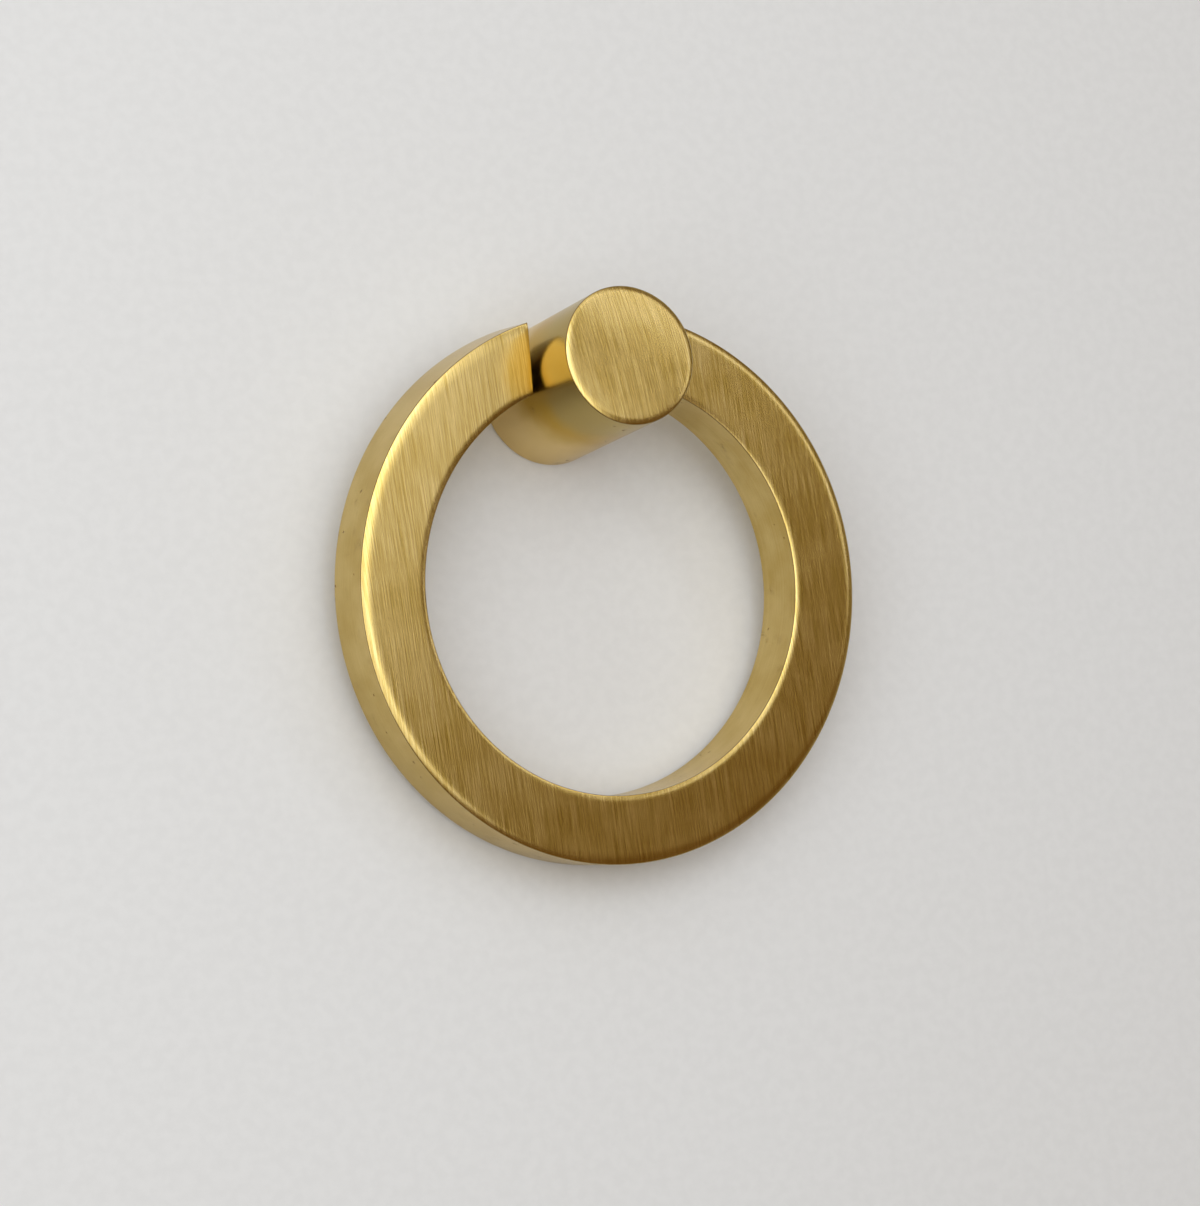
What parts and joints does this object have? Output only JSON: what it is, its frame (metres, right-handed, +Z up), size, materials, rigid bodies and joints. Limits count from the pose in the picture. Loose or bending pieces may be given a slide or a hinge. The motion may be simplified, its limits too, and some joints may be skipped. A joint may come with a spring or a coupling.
{
  "type": "ring pull handle",
  "caption": "Round brass post with a flat square-section brass ring that swings on a hidden cross pin; fixed to a drawer front by a screw from behind.",
  "frame": {"origin": "centre of the post's base, at the mouth of the screw hole, on the mounting face", "axes": "+Z up the post and away from the mounting face, X along the hinge pin, the ring lying towards -Y"},
  "size_m": [0.05, 0.0505, 0.0174],
  "materials": {
    "ring_brass": "brushed satin with a clear lacquer",
    "post_brass": "brushed satin head, smooth turned side",
    "pin_steel": "plain ground"
  },
  "bodies": {
    "post": {"post": "post_brass", "hinge_pin": "pin_steel"},
    "ring": {"pull_ring": "ring_brass"}
  },
  "joints": [
    {"name": "ring_swing", "type": "hinge", "parent": "post", "child": "ring", "pos_m": [0, 0, 0.0082], "axis": [-1, 0, 0], "range_deg": [0, 193.7]}
  ]
}
